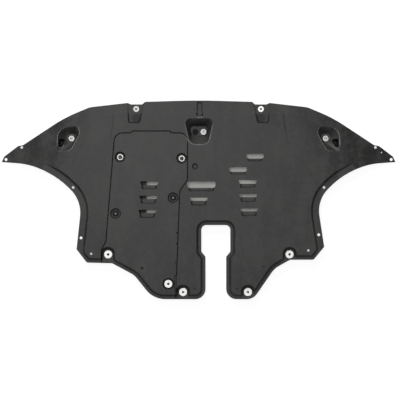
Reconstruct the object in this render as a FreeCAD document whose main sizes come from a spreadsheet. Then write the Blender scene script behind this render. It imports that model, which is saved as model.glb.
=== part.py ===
import FreeCAD, Part
import Sketcher
import math
import os

# Engine splash shield with a screwed-on service cover and its metal collars.
# It lies road face up, in millimetres: +Z is the road-side normal, +Y points to the front
# of the car and +X to the right as the road face is seen. The origin is under the middle
# of the part, on the surface that it rests on.

# Every driving size, in millimetres or degrees. An "out" is measured from the centre
# line, a "fore" forward of the middle and a "back" behind it. What stands off the centre
# line on one side only has an out that is positive to the right.
SIZES = {
    # Sheet and its levels
    "sheet_thickness": 3.0,
    "flange_step": 13.0,
    "step_draft_angle": 26.0,
    "side_flange_width": 24.5,
    "rear_flange_width": 12.0,
    # Front edge and wings, alike on both sides
    "nose_fore": 366.0,
    "front_shoulder_out": 197.0,
    "front_shoulder_fore": 360.0,
    "front_notch_inner_out": 207.0,
    "front_notch_outer_out": 249.0,
    "front_notch_fore": 350.5,
    "front_notch_end_out": 260.5,
    "front_notch_end_fore": 356.0,
    "front_edge_round": 8.0,
    "nose_round": 2500.0,
    "wing_root_out": 400.0,
    "wing_root_fore": 340.0,
    "wing_root_round": 60.0,
    "wing_front_out": 495.0,
    "wing_front_fore": 301.0,
    "wing_front_round": 650.0,
    "wing_lug_out": 648.0,
    "wing_lug_fore": 202.0,
    "wing_lug_end_out": 667.0,
    "wing_lug_end_fore": 198.5,
    "wing_lug_round": 8.0,
    "tip_front_out": 719.0,
    "tip_front_fore": 159.5,
    "tip_out": 728.0,
    "tip_rear_fore": 139.5,
    "tip_round": 5.0,
    # Wheel arches
    "arch_outer_out": 618.0,
    "arch_outer_fore": 131.0,
    "arch_outer_round": 290.0,
    "arch_middle_out": 520.0,
    "arch_middle_fore": 84.0,
    "arch_middle_round": 320.0,
    "waist_left_out": 429.6,
    "waist_right_out": 435.9,
    "waist_back": 1.0,
    "waist_round": 138.0,
    # Rear edge on the left
    "left_side_out": 449.0,
    "left_side_back": 182.0,
    "left_corner_out": 411.0,
    "left_rear_back": 231.0,
    "left_bay_out": 318.0,
    "left_bay_back": 233.5,
    "left_lobe_out": 236.6,
    "left_lobe_back": 277.0,
    "left_lobe_round": 75.0,
    "rear_edge_back": 365.5,
    "left_foot_out": 165.8,
    "left_foot_round": 90.0,
    # Rear edge on the right
    "right_side_out": 462.0,
    "right_side_back": 173.0,
    "right_corner_out": 423.0,
    "right_rear_back": 220.5,
    "right_bay_out": 336.7,
    "right_lobe_out": 279.4,
    "right_lobe_back": 252.3,
    "right_lobe_round": 85.0,
    "right_foot_out": 201.3,
    "right_foot_round": 45.0,
    "corner_round": 12.0,
    # Exhaust cut-out
    "exhaust_out": 63.5,
    "exhaust_mouth_width": 76.0,
    "exhaust_head_width": 106.5,
    "exhaust_head_back": 93.0,
    "exhaust_waist_back": 209.0,
    "exhaust_shoulder_back": 191.0,
    "exhaust_mouth_round": 38.0,
    "exhaust_head_round": 18.0,
    # Wings fall away outboard of a crease, the apron falls away to the front
    "crease_out": 424.4,
    "crease_fore": 302.7,
    "crease_lean_angle": 12.6,
    "crease_fall_angle": 3.0,
    "crease_ease_angle": 1.0,
    "crease_round": 900.0,
    "wing_fall_angle": 10.5,
    "apron_back_fore": 221.0,
    "apron_fall_angle": 3.2,
    "apron_ease_angle": 0.4,
    "apron_round": 1500.0,
    # Raised plateau behind the front apron
    "plateau_front_out": 307.0,
    "plateau_rear_out": 336.0,
    "plateau_fore": 318.0,
    "plateau_length": 170.0,
    "plateau_draft_angle": 40.0,
    "plateau_round": 12.0,
    # Groove in the middle of the apron
    "groove_width": 16.0,
    "groove_front_fore": 357.0,
    "groove_rear_fore": 307.0,
    "groove_out": 4.0,
    "groove_depth": 4.0,
    "groove_round": 4.0,
    # Front tabs
    "tab_out": 229.0,
    "tab_fore": 333.5,
    "tab_recess_length": 49.0,
    "tab_outer_width": 26.0,
    "tab_inner_width": 10.0,
    "tab_flare": 26.0,
    "tab_round": 5.0,
    "tab_sink": 1.0,
    # Centre pocket
    "pocket_depth": 30.0,
    "pocket_out": 1.5,
    "pocket_front_fore": 298.5,
    "pocket_rear_fore": 203.0,
    "pocket_front_width": 109.0,
    "pocket_rear_width": 68.0,
    "pocket_round": 19.0,
    "pocket_rear_round": 26.0,
    "pocket_front_run": 27.0,
    "pocket_side_run": 20.0,
    "pocket_rear_run": 34.0,
    "pocket_rear_side_run": 7.0,
    "pocket_floor_round": 12.0,
    "pocket_collar_out": 18.1,
    "pocket_fastener_out": 11.8,
    "pocket_fastener_fore": 250.5,
    # Wing scoops: a dish about a level seat for the collar, and a pit at its outer rear
    "scoop_out": 468.5,
    "scoop_fore": 226.0,
    "scoop_depth": 28.0,
    "scoop_seat": 19.0,
    "seat_outer_share": 0.9,
    "seat_rear_share": 0.4,
    "seat_side_share": 0.2,
    "seat_front_share": 0.7,
    "scoop_outboard": 53.0,
    "scoop_outboard_front": 36.0,
    "scoop_outboard_rear": 54.0,
    "scoop_rear_inboard": -2.0,
    "scoop_rear": 46.0,
    "scoop_side_inboard": 34.0,
    "scoop_side_front": 22.0,
    "scoop_front_inboard": 24.0,
    "scoop_front": 50.0,
    "scoop_front_round": 42.0,
    "scoop_round": 16.0,
    "pit_depth": 36.0,
    "pit_outboard": 41.0,
    "pit_inboard": 27.0,
    "pit_front": 7.0,
    "pit_rear": 33.0,
    "pit_draft_angle": 20.0,
    "pit_round": 2.0,
    # Collars: pressed steel sleeves with a round flange
    "collar_flange_thickness": 1.6,
    "collar_bore": 8.6,
    "collar_sleeve_diameter": 13.0,
    "collar_clearance": 0.3,
    "small_collar_diameter": 22.0,
    "large_collar_diameter": 30.0,
    "boss_wall": 3.0,
    "short_boss_length": 8.0,
    "sleeve_relief": 0.4,
    "collar_ease": 0.5,
    # Rear collars stand in recesses that are open to the rear
    "rear_collar_left_out": 332.6,
    "rear_collar_right_out": 334.5,
    "rear_collar_back": 200.5,
    "rear_inner_left_out": 57.0,
    "rear_inner_right_out": 181.3,
    "rear_inner_back": 339.0,
    "rear_recess_width": 39.0,
    "rear_recess_front": 21.0,
    "rear_recess_rear": 45.0,
    # Service cover
    "seam_gap": 3.6,
    "cover_front_fore": 245.3,
    "cover_tongue_fore": 252.3,
    "cover_tongue_left_out": 248.3,
    "cover_tongue_right_out": 100.3,
    "cover_left_front_out": 307.5,
    "cover_left_rear_out": 340.0,
    "cover_left_rear_back": 153.0,
    "cover_jog_out": 356.5,
    "cover_jog_back": 184.0,
    "cover_right_out": 40.5,
    "cover_right_back": -73.3,
    "cover_waist_out": 68.8,
    "cover_waist_back": -32.6,
    "cover_foot_out": 88.0,
    "cover_foot_lean": 4.0,
    "cover_left_round": 48.0,
    "cover_right_round": 42.0,
    "cover_jog_round": 20.0,
    "cover_tongue_round": 3.0,
    "cover_tongue_taper": 4.0,
    "notch_reach": 7.0,
    "notch_length": 5.0,
    "notch_one_back": 121.0,
    "notch_two_back": 161.0,
    "notch_three_back": 231.0,
    "slit_back": 304.0,
    "slit_length": 52.0,
    # Access window in the shield under the cover
    "window_front_fore": 212.0,
    "window_left_out": 188.0,
    "window_left_rear_out": 196.0,
    "window_right_out": 93.0,
    "window_knee_back": -80.0,
    "window_waist_out": 124.0,
    "window_waist_back": -36.0,
    "window_rear_back": 230.0,
    "window_round": 18.0,
    # Cover fasteners
    "cover_screw_left_out": 287.9,
    "cover_screw_left_fore": 157.0,
    "cover_screw_right_out": 61.8,
    "cover_screw_right_fore": 152.0,
    "cover_collar_out": 111.0,
    "cover_collar_back": 308.6,
    "cover_clip_left_out": 304.5,
    "cover_clip_left_back": 50.7,
    "cover_clip_right_out": 93.6,
    "cover_clip_right_back": -7.4,
    "cover_recess_depth": 7.0,
    "cover_recess_diameter": 35.0,
    "collar_recess_diameter": 39.0,
    "recess_draft": 0.3,
    "washer_diameter": 26.0,
    "washer_thickness": 1.6,
    "washer_hole": 7.0,
    "screw_head_diameter": 13.0,
    "screw_head_height": 3.6,
    "screw_head_side": 1.2,
    "screw_head_round": 1.5,
    "screw_diameter": 6.0,
    "screw_length": 17.0,
    "screw_point": 1.0,
    "screw_taper": 2.0,
    "screw_hole_clearance": 0.6,
    "drive_width": 1.6,
    "drive_length": 6.4,
    "drive_depth": 2.2,
    "nut_flange_diameter": 16.0,
    "nut_flange_thickness": 1.2,
    "nut_width": 10.0,
    "nut_height": 6.0,
    "nut_bore_clearance": 0.1,
    # Black push clips
    "clip_head_diameter": 20.0,
    "clip_head_height": 2.0,
    "clip_shank_diameter": 8.0,
    "clip_shank_length": 13.0,
    "clip_barb": 0.9,
    "clip_barb_length": 3.0,
    "clip_bevel": 1.2,
    "clip_dish_gap": 0.6,
    "clip_dish_bevel": 0.9,
    "clip_wall": 1.6,
    "clip_grip": 0.5,
    "clip_hole_clearance": 0.2,
    "pin_head_diameter": 11.0,
    "pin_head_height": 1.6,
    "pin_fit": 0.1,
    "pin_relief": 1.0,
    "pin_point": 0.6,
    "pin_taper": 1.2,
    "pin_bevel": 0.8,
    # Louvres: a slot with a sunken pad behind it
    "louvre_width": 66.0,
    "louvre_pad_width": 56.0,
    "louvre_length": 30.0,
    "louvre_pad_depth": 7.0,
    "louvre_pad_draft": 4.2,
    "louvre_slot_round": 3.0,
    "pad_round": 3.0,
    "front_slot_length": 18.5,
    "middle_slot_length": 14.0,
    "rear_slot_length": 11.5,
    "wide_louvre_width": 104.0,
    "wide_pad_width": 93.0,
    "wide_slot_length": 24.5,
    "wide_louvre_length": 37.5,
    "louvre_one_out": 207.0,
    "louvre_one_fore": 170.2,
    "louvre_two_out": 144.5,
    "louvre_two_fore": 121.4,
    "louvre_three_out": 180.2,
    "louvre_three_fore": 72.9,
    "louvre_four_out": 182.6,
    "louvre_four_fore": 21.1,
    "louvre_five_out": 185.4,
    "louvre_five_fore": -31.1,
    "wide_louvre_out": 10.2,
    "wide_louvre_fore": 68.1,
    "small_louvre_out": 0.2,
    "small_louvre_fore": 8.1,
    "cover_louvre_one_out": -181.1,
    "cover_louvre_one_fore": 67.7,
    "cover_louvre_two_out": -184.3,
    "cover_louvre_two_fore": 14.8,
    "cover_louvre_three_out": -188.2,
    "cover_louvre_three_fore": -37.0,
    # Small holes and dimples
    "tip_hole_out": 712.0,
    "tip_hole_fore": 149.0,
    "lug_hole_out": 653.0,
    "lug_hole_fore": 193.5,
    "arch_hole_out": 461.5,
    "arch_hole_fore": 45.5,
    "left_side_hole_out": 432.5,
    "left_side_hole_back": 140.0,
    "right_side_hole_out": 442.0,
    "right_side_hole_back": 128.5,
    "left_drain_out": 394.0,
    "left_drain_back": 198.0,
    "right_drain_out": 403.0,
    "right_drain_back": 185.7,
    "vent_out": 675.5,
    "vent_fore": 175.0,
    "cover_drain_out": 207.5,
    "cover_drain_back": 251.0,
    "tip_hole_diameter": 11.0,
    "clip_hole_diameter": 10.0,
    "drain_diameter": 8.5,
    "vent_diameter": 5.0,
    "cover_drain_diameter": 10.0,
    "dimple_out": -12.6,
    "dimple_fore": 122.8,
    "dimple_diameter": 21.0,
    "dimple_depth": 5.0,
    "pip_diameter": 8.0,
    "pip_depth": 1.2,
    "pip_right_out": 239.4,
    "pip_right_back": 245.0,
    "pip_foot_right_out": 141.3,
    "pip_foot_left_out": -14.4,
    "pip_foot_back": 327.0,
    # Cutting tools: how far they run past what they cut, and how deep joined pieces sink
    "tool_overrun": 60.0,
    "tool_lift": 2.0,
    "far_margin": 100.0,
    "weld": 0.5,
}

V = FreeCAD.Vector
UP = V(0, 0, 1)
# The most of an edge that the arc at its corner may take
ARC_SHARE = 0.48

doc = FreeCAD.newDocument("engine_splash_shield")
sheet = doc.addObject("Spreadsheet::Sheet", "sizes")
rows = 0


def cell(name, text):
    """One row of the sheet: a name, and a number or a formula under that name."""
    global rows
    rows += 1
    sheet.set(f"A{rows}", name)
    sheet.set(f"B{rows}", text)
    sheet.setAlias(f"B{rows}", name)
    return "sizes." + name


for size_name, size in SIZES.items():
    cell(size_name, str(size))


def number(name):
    """The value that a named cell now has."""
    value = sheet.get(name)
    return float(getattr(value, "Value", value))


def bind(item, **properties):
    """Ties properties to formulas, with a double underscore for a dot."""
    for name, formula in properties.items():
        item.setExpression(name.replace("__", "."), formula)
    return item


def make(kind, name, **properties):
    return bind(doc.addObject(kind, name), **properties)


def cut(name, base, tool):
    item = doc.addObject("Part::Cut", name)
    item.Base, item.Tool = base, tool
    return item


def common(name, base, tool):
    item = doc.addObject("Part::Common", name)
    item.Base, item.Tool = base, tool
    return item


def fuse(name, items):
    item = doc.addObject("Part::MultiFuse", name)
    item.Shapes = items
    return item


def group(name, items):
    item = doc.addObject("Part::Compound", name)
    item.Links = items
    return item


# Sketches: closed outlines of straight runs and tangent arcs, each corner tied to cells


def corner_cells(name, corners):
    """Cells for the corners of an outline, and for the arcs that fit in them."""
    around = list(zip(corners[-1:] + corners[:-1], corners, corners[1:] + corners[:1]))
    for corner, x, y, _ in corners:
        cell(f"{name}_{corner}_x", "=" + x)
        cell(f"{name}_{corner}_y", "=" + y)
    for _, here, after in around:
        a, b = f"{name}_{here[0]}_", f"{name}_{after[0]}_"
        cell(a + "run", f"=sqrt(({b}x - {a}x)^2 + ({b}y - {a}y)^2)")
        cell(a + "along", f"=({b}x - {a}x) / {a}run")
        cell(a + "across", f"=({b}y - {a}y) / {a}run")
    for before, here, _ in around:
        a, b = f"{name}_{before[0]}_", f"{name}_{here[0]}_"
        cell(b + "cosine", f"={a}along * {b}along + {a}across * {b}across")
        cell(b + "turn", f"=sqrt((1 - {b}cosine) / (1 + {b}cosine))")
        if here[3]:
            cell(b + "radius", f"=min({here[3]}; {ARC_SHARE} * min({a}run; {b}run) / {b}turn)")
    sheet.recompute()


def add_outline(sketch, name, corners):
    """Draws the outline of corner_cells in a sketch and ties it to the cells."""
    count = len(corners)
    centres, radii, starts, ends = [], [], [], []
    for i in range(count):
        here, before = f"{name}_{corners[i][0]}_", f"{name}_{corners[i - 1][0]}_"
        point = V(number(here + "x"), number(here + "y"), 0)
        into = V(number(before + "along"), number(before + "across"), 0)
        out = V(number(here + "along"), number(here + "across"), 0)
        radius = number(here + "radius") if corners[i][3] else 0.0
        room = radius * number(here + "turn")
        side = 1 if into.x * out.y - into.y * out.x > 0 else -1
        starts.append(point - into * room)
        ends.append(point + out * room)
        centres.append(starts[i] + V(-into.y, into.x, 0) * radius * side)
        radii.append((radius, side))
    shapes, rules, ties = [], [], []
    for i in range(count):
        shapes.append(Part.LineSegment(ends[i], starts[(i + 1) % count]))
    for i in range(count):
        here = f"{name}_{corners[i][0]}_"
        line_in, line_out = (i - 1) % count, i
        radius, side = radii[i]
        if radius == 0.0:
            rules.append(Sketcher.Constraint("Coincident", line_in, 2, line_out, 1))
            holder = line_out
        else:
            first, last = (starts[i], ends[i]) if side > 0 else (ends[i], starts[i])
            angles = [math.atan2(p.y - centres[i].y, p.x - centres[i].x) for p in (first, last)]
            arc, holder = len(shapes), len(shapes) + 1
            shapes.append(Part.ArcOfCircle(Part.Circle(centres[i], UP, radius), *angles))
            shapes.append(Part.Point(V(number(here + "x"), number(here + "y"), 0)))
            enter, leave = (1, 2) if side > 0 else (2, 1)
            rules.append(Sketcher.Constraint("Tangent", line_in, 2, arc, enter))
            rules.append(Sketcher.Constraint("Tangent", line_out, 1, arc, leave))
            rules.append(Sketcher.Constraint("PointOnObject", holder, 1, line_in))
            rules.append(Sketcher.Constraint("PointOnObject", holder, 1, line_out))
            rules.append(Sketcher.Constraint("Radius", arc, radius))
            ties.append((len(rules) - 1, "sizes." + here + "radius"))
        for kind, axis in (("DistanceX", "x"), ("DistanceY", "y")):
            rules.append(Sketcher.Constraint(kind, -1, 1, holder, 1, number(here + axis)))
            ties.append((len(rules) - 1, "sizes." + here + axis))
    sketch.addGeometry(shapes, False)
    for index, shape in enumerate(shapes):
        if isinstance(shape, Part.Point):
            sketch.setConstruction(index, True)
    sketch.addConstraint(rules)
    for index, formula in ties:
        sketch.setExpression(f"Constraints[{index}]", formula)
    return sketch


def outline(name, corners):
    """A sketch of its own, flat on the ground plane."""
    corner_cells(name, corners)
    return add_outline(doc.addObject("Sketcher::SketchObject", name + "_sketch"), name, corners)


def mirrored(corners):
    """The same corners on the right-hand side, in reversed order."""
    return [(corner.replace("left", "right"), f"-({x})", y, radius)
            for corner, x, y, radius in reversed(corners)]


def prism(name, sketch, bottom, height):
    """An upright prism that stands on a level."""
    item = make("Part::Extrusion", name, LengthFwd=height, Placement__Base__z=bottom)
    item.Base, item.Solid = sketch, True
    item.DirMode, item.Dir = "Custom", UP
    return item


def drafted(name, sketch, bottom, height, angle, out="0", fore="0"):
    """A prism that stands on a level and widens upwards."""
    item = prism(name, sketch, bottom, height)
    return bind(item, TaperAngle=angle, Placement__Base__x=out, Placement__Base__y=fore)


def grown(name, sketch, distance):
    """The outline moved outwards by a distance."""
    item = make("Part::Offset2D", name, Value=distance)
    item.Source, item.Join = sketch, "Arc"
    return item


def tube_hole(name, diameter, bottom, height, out="0", fore="0"):
    return make("Part::Cylinder", name, Radius=f"({diameter}) / 2", Height=height,
                Placement__Base__x=out, Placement__Base__y=fore, Placement__Base__z=bottom)


# Levels: the wing tips come down to the surface that the part rests on, unless the clip
# of the pocket or a hollow of the wings reaches further down
cell("wing_slope_out", "=tan(wing_fall_angle) * cos(crease_lean_angle)"
     " - tan(crease_fall_angle) * sin(crease_lean_angle)")
cell("wing_slope_fore", "=tan(crease_fall_angle) * cos(crease_lean_angle)"
     " + tan(wing_fall_angle) * sin(crease_lean_angle)")
cell("crease_drop", "=(crease_fore - apron_back_fore) * tan(apron_fall_angle)")
cell("tip_front_drop", "=(tip_front_out - crease_out) * wing_slope_out"
     " + (tip_front_fore - crease_fore) * wing_slope_fore")
cell("tip_rear_drop", "=(tip_out - crease_out) * wing_slope_out"
     " + (tip_rear_fore - crease_fore) * wing_slope_fore")
cell("tip_reach", "=crease_drop + max(tip_front_drop; tip_rear_drop) + sheet_thickness")
cell("scoop_reach", "=scoop_depth + sheet_thickness + short_boss_length")
cell("pit_reach", "=pit_depth + 2 * sheet_thickness")
cell("pocket_reach", "=pocket_depth + max(clip_shank_length; sheet_thickness + short_boss_length)")
cell("field_top", "=max(tip_reach; max(scoop_reach; max(pit_reach; pocket_reach)))")
cell("flange_top", "=field_top - flange_step")
cell("tool_reach", "=2 * tip_out")
cell("crease_reach", "=3 * tool_overrun")
cell("wing_pitch", "=atan(wing_slope_out)")
cell("wing_roll", "=atan(wing_slope_fore)")
cell("scoop_rim_level", "=field_top - crease_drop - (scoop_out - crease_out) * wing_slope_out"
     " - (scoop_fore - crease_fore) * wing_slope_fore + weld")
cell("tab_level", "=field_top - tab_sink - (front_notch_fore - apron_back_fore) * tan(apron_fall_angle)")
cell("louvre_pad_angle", "=atan(louvre_pad_draft / louvre_pad_depth)")
cell("tab_front_reach", "=nose_fore - tab_fore + tool_overrun / 2")
cell("tab_splay", "=tab_flare / 3")
cell("slot_corner", "=louvre_pad_depth")
cell("draft_slip", "=(1 - sin(step_draft_angle)) / cos(step_draft_angle)")

# Plan of the front edge and the wings, alike on both sides, and open behind
cell("far_back", "=rear_edge_back + far_margin")
LEFT_FRONT = [
    ("shoulder_left", "-front_shoulder_out", "front_shoulder_fore", "front_edge_round"),
    ("notch_inner_left", "-front_notch_inner_out", "front_notch_fore", "front_edge_round"),
    ("notch_outer_left", "-front_notch_outer_out", "front_notch_fore", "front_edge_round"),
    ("notch_end_left", "-front_notch_end_out", "front_notch_end_fore", "front_edge_round"),
    ("root_left", "-wing_root_out", "wing_root_fore", "wing_root_round"),
    ("wing_left", "-wing_front_out", "wing_front_fore", "wing_front_round"),
    ("lug_left", "-wing_lug_out", "wing_lug_fore", "wing_lug_round"),
    ("lug_end_left", "-wing_lug_end_out", "wing_lug_end_fore", "wing_lug_round"),
    ("tip_front_left", "-tip_front_out", "tip_front_fore", "tip_round"),
    ("tip_left", "-tip_out", "tip_rear_fore", "tip_round"),
    ("far_left", "-tip_out", "-far_back", None),
]
plan = outline("plan", [("nose", "0", "nose_fore", "nose_round")] + LEFT_FRONT + mirrored(LEFT_FRONT))

# What the wheels and the rear axle take away
cell("far_out", "=tip_out + 2 * far_margin")
cell("arch_rise", "=(tip_rear_fore - arch_outer_fore) / (tip_out - arch_outer_out)")


def arch(side, waist_out, side_out, side_back):
    """The wheel arch behind a wing, drawn on the left: everything outboard of the waist."""
    lean = f"({side_out} - {waist_out}) / ({side_back} - waist_back)"
    corners = [
        ("far_front", "-far_out", "arch_outer_fore + (far_out - arch_outer_out) * arch_rise", None),
        ("far_rear", "-far_out", "-far_back", None),
        ("side", f"-({side_out} + (far_back - {side_back}) * {lean})", "-far_back", None),
        ("waist", f"-{waist_out}", "-waist_back", "waist_round"),
        ("middle", "-arch_middle_out", "arch_middle_fore", "arch_middle_round"),
        ("outer", "-arch_outer_out", "arch_outer_fore", "arch_outer_round"),
    ]
    name = f"{side}_arch"
    return outline(name, corners if side == "left" else mirrored(corners))


arches = {"left": arch("left", "waist_left_out", "left_side_out", "left_side_back"),
          "right": arch("right", "waist_right_out", "right_side_out", "right_side_back")}

cell("mouth_left_out", "=exhaust_out - exhaust_mouth_width / 2")
cell("mouth_right_out", "=exhaust_out + exhaust_mouth_width / 2")
cell("head_left_out", "=exhaust_out - exhaust_head_width / 2")
cell("head_right_out", "=exhaust_out + exhaust_head_width / 2")
cell("left_chamfer_lean", "=(left_side_out - left_corner_out) / (left_rear_back - left_side_back)")
cell("right_chamfer_lean", "=(right_side_out - right_corner_out) / (right_rear_back - right_side_back)")
cell("left_chamfer_out", "=left_corner_out + left_chamfer_lean * left_rear_back")
cell("right_chamfer_out", "=right_corner_out + right_chamfer_lean * right_rear_back")
REAR = [
    ("chamfer_left", "-left_chamfer_out", "0", None),
    ("far_left", "-left_chamfer_out", "-far_back", None),
    ("far_right", "right_chamfer_out", "-far_back", None),
    ("chamfer_right", "right_chamfer_out", "0", None),
    ("corner_right", "right_corner_out", "-right_rear_back", "corner_round"),
    ("bay_right", "right_bay_out", "-right_rear_back", "corner_round"),
    ("lobe_right", "right_lobe_out", "-right_lobe_back", "right_lobe_round"),
    ("foot_right", "right_foot_out", "-rear_edge_back", "right_foot_round"),
    ("mouth_right", "mouth_right_out", "-rear_edge_back", "exhaust_mouth_round"),
    ("throat_right", "mouth_right_out", "-exhaust_waist_back", "corner_round"),
    ("bulge_right", "head_right_out", "-exhaust_shoulder_back", "corner_round"),
    ("head_right", "head_right_out", "-exhaust_head_back", "exhaust_head_round"),
    ("head_left", "head_left_out", "-exhaust_head_back", "exhaust_head_round"),
    ("bulge_left", "head_left_out", "-exhaust_shoulder_back", "corner_round"),
    ("throat_left", "mouth_left_out", "-exhaust_waist_back", "corner_round"),
    ("mouth_left", "mouth_left_out", "-rear_edge_back", "exhaust_mouth_round"),
    ("foot_left", "-left_foot_out", "-rear_edge_back", "left_foot_round"),
    ("lobe_left", "-left_lobe_out", "-left_lobe_back", "left_lobe_round"),
    ("bay_left", "-left_bay_out", "-left_bay_back", "corner_round"),
    ("corner_left", "-left_corner_out", "-left_rear_back", "corner_round"),
]
rear = outline("rear", REAR)

# Plans of the smaller tools, each about its own middle or in its own place
recess = outline("recess", [
    ("rear_left", "-rear_recess_width / 2", "-rear_recess_rear", None),
    ("rear_right", "rear_recess_width / 2", "-rear_recess_rear", None),
    ("front_right", "rear_recess_width / 2", "rear_recess_front", "rear_recess_width / 2"),
    ("front_left", "-rear_recess_width / 2", "rear_recess_front", "rear_recess_width / 2"),
])
TAB = [
    ("rear_left", "-tab_outer_width", "-tab_recess_length", "tab_round"),
    ("rear_inner", "tab_inner_width", "-tab_recess_length", "tab_round"),
    ("front_inner", "tab_inner_width + tab_flare", "tab_front_reach", None),
    ("front_left", "-tab_outer_width - tab_splay", "tab_front_reach", None),
]
tabs = {"left": outline("left_tab", TAB), "right": outline("right_tab", mirrored(TAB))}
pocket_rim = outline("pocket_rim", [
    ("rear_left", "pocket_out - pocket_rear_width / 2", "pocket_rear_fore", "pocket_rear_round"),
    ("rear_right", "pocket_out + pocket_rear_width / 2", "pocket_rear_fore", "pocket_rear_round"),
    ("front_right", "pocket_out + pocket_front_width / 2", "pocket_front_fore", "pocket_round"),
    ("front_left", "pocket_out - pocket_front_width / 2", "pocket_front_fore", "pocket_round"),
])
pocket_floor = outline("pocket_floor", [
    ("rear_left", "pocket_out - pocket_rear_width / 2 + pocket_rear_side_run",
     "pocket_rear_fore + pocket_rear_run", "pocket_floor_round"),
    ("rear_right", "pocket_out + pocket_rear_width / 2 - pocket_rear_side_run",
     "pocket_rear_fore + pocket_rear_run", "pocket_floor_round"),
    ("front_right", "pocket_out + pocket_front_width / 2 - pocket_side_run",
     "pocket_front_fore - pocket_front_run", "pocket_floor_round"),
    ("front_left", "pocket_out - pocket_front_width / 2 + pocket_side_run",
     "pocket_front_fore - pocket_front_run", "pocket_floor_round"),
])

# The left scoop about its collar: its rim, its seat and the pit beside the seat
SCOOP_RIM = [
    ("rear_outer", "-scoop_outboard", "-scoop_outboard_rear", "scoop_round"),
    ("rear_inner", "scoop_rear_inboard", "-scoop_rear", "scoop_round"),
    ("side_left", "scoop_side_inboard", "scoop_side_front", "scoop_round"),
    ("front_inner", "scoop_front_inboard", "scoop_front", "scoop_round"),
    ("front_outer", "-scoop_outboard", "scoop_outboard_front", "scoop_front_round"),
]
SCOOP_SEAT = [
    ("rear_outer", "-seat_outer_share * scoop_seat", "-seat_outer_share * scoop_seat", "scoop_seat"),
    ("rear_inner", "seat_rear_share * scoop_seat", "-scoop_seat", "scoop_seat"),
    ("side_left", "scoop_seat", "seat_side_share * scoop_seat", "scoop_seat"),
    ("front_inner", "seat_front_share * scoop_seat", "scoop_seat", "scoop_seat"),
    ("front_outer", "-scoop_seat", "seat_outer_share * scoop_seat", "scoop_seat"),
]
PIT = [
    ("outer", "-pit_outboard", "-pit_front", "pit_round"),
    ("rear", "-pit_outboard", "-pit_rear", "pit_round"),
    ("inner", "-pit_inboard", "-pit_front", "pit_round"),
]
scoop_rims = {"left": outline("left_scoop_rim", SCOOP_RIM),
              "right": outline("right_scoop_rim", mirrored(SCOOP_RIM))}
scoop_seats = {"left": outline("left_scoop_seat", SCOOP_SEAT),
               "right": outline("right_scoop_seat", mirrored(SCOOP_SEAT))}
pits = {"left": outline("left_pit", PIT), "right": outline("right_pit", mirrored(PIT))}
plateau = outline("plateau", [
    ("rear_left", "-plateau_rear_out", "plateau_fore - plateau_length", "plateau_round"),
    ("rear_right", "plateau_rear_out", "plateau_fore - plateau_length", "plateau_round"),
    ("front_right", "plateau_front_out", "plateau_fore", "plateau_round"),
    ("front_left", "-plateau_front_out", "plateau_fore", "plateau_round"),
])
groove = outline("groove", [
    ("rear_left", "groove_out - groove_width / 2", "groove_rear_fore", "groove_round"),
    ("rear_right", "groove_out + groove_width / 2", "groove_rear_fore", "groove_round"),
    ("front_right", "groove_out + groove_width / 2", "groove_front_fore", "groove_round"),
    ("front_left", "groove_out - groove_width / 2", "groove_front_fore", "groove_round"),
])
cover_plan = outline("cover_plan", [
    ("foot_left", "-cover_jog_out - cover_foot_lean", "-far_back", None),
    ("foot_right", "-cover_foot_out", "-far_back", None),
    ("waist_right", "-cover_waist_out", "-cover_waist_back", "cover_jog_round"),
    ("knee_right", "-cover_right_out", "-cover_right_back", "cover_jog_round"),
    ("front_right", "-cover_right_out", "cover_front_fore", "cover_right_round"),
    ("tongue_foot_right", "-cover_tongue_right_out", "cover_front_fore", "cover_tongue_round"),
    ("tongue_right", "-cover_tongue_right_out - cover_tongue_taper", "cover_tongue_fore",
     "cover_tongue_round"),
    ("tongue_left", "-cover_tongue_left_out + cover_tongue_taper", "cover_tongue_fore",
     "cover_tongue_round"),
    ("tongue_foot_left", "-cover_tongue_left_out", "cover_front_fore", "cover_tongue_round"),
    ("front_left", "-cover_left_front_out", "cover_front_fore", "cover_left_round"),
    ("hip_left", "-cover_left_rear_out", "-cover_left_rear_back", "cover_jog_round"),
    ("jog_left", "-cover_jog_out", "-cover_jog_back", "cover_jog_round"),
])
window = outline("window", [
    ("rear_left", "-window_left_rear_out", "-window_rear_back", "window_round"),
    ("rear_right", "-window_waist_out", "-window_rear_back", "window_round"),
    ("waist_right", "-window_waist_out", "-window_waist_back", "window_round"),
    ("knee_right", "-window_right_out", "-window_knee_back", "window_round"),
    ("front_right", "-window_right_out", "window_front_fore", "window_round"),
    ("front_left", "-window_left_out", "window_front_fore", "window_round"),
])


def profile(name, corners):
    """An outline on edge, whose second coordinate is the height."""
    sketch = outline(name, corners)
    sketch.Placement.Rotation = FreeCAD.Rotation(V(1, 0, 0), 90)
    return sketch


apron_side = profile("apron_side", [
    ("back", "-apron_back_fore + tool_reach", "field_top + tool_reach * tan(apron_ease_angle)", None),
    ("top_back", "-apron_back_fore + tool_reach", "field_top + tool_reach", None),
    ("top_front", "-apron_back_fore - tool_reach", "field_top + tool_reach", None),
    ("front", "-apron_back_fore - tool_reach", "field_top - tool_reach * tan(apron_fall_angle)", None),
    ("bend", "-apron_back_fore", "field_top", "apron_round"),
])
apron_side.Placement.Rotation = FreeCAD.Rotation(-90, 0, 90)
wing_side = {}
for side, sign in (("left", "-"), ("right", "")):
    corners = [
        ("inner", f"{sign}(crease_out - crease_reach)",
         "field_top - crease_drop + crease_reach * tan(crease_ease_angle)", None),
        ("crease", f"{sign}crease_out", "field_top - crease_drop", "crease_round"),
        ("outer", f"{sign}(crease_out + tool_reach)",
         "field_top - crease_drop - tool_reach * wing_slope_out", None),
        ("top_outer", f"{sign}(crease_out + tool_reach)", "field_top + tool_reach", None),
        ("top_inner", f"{sign}(crease_out - crease_reach)", "field_top + tool_reach", None),
    ]
    wing_side[side] = profile(f"{side}_wing_side", corners)
    wing_side[side].setExpression("Placement.Base.y", "sizes.crease_fore")


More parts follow.
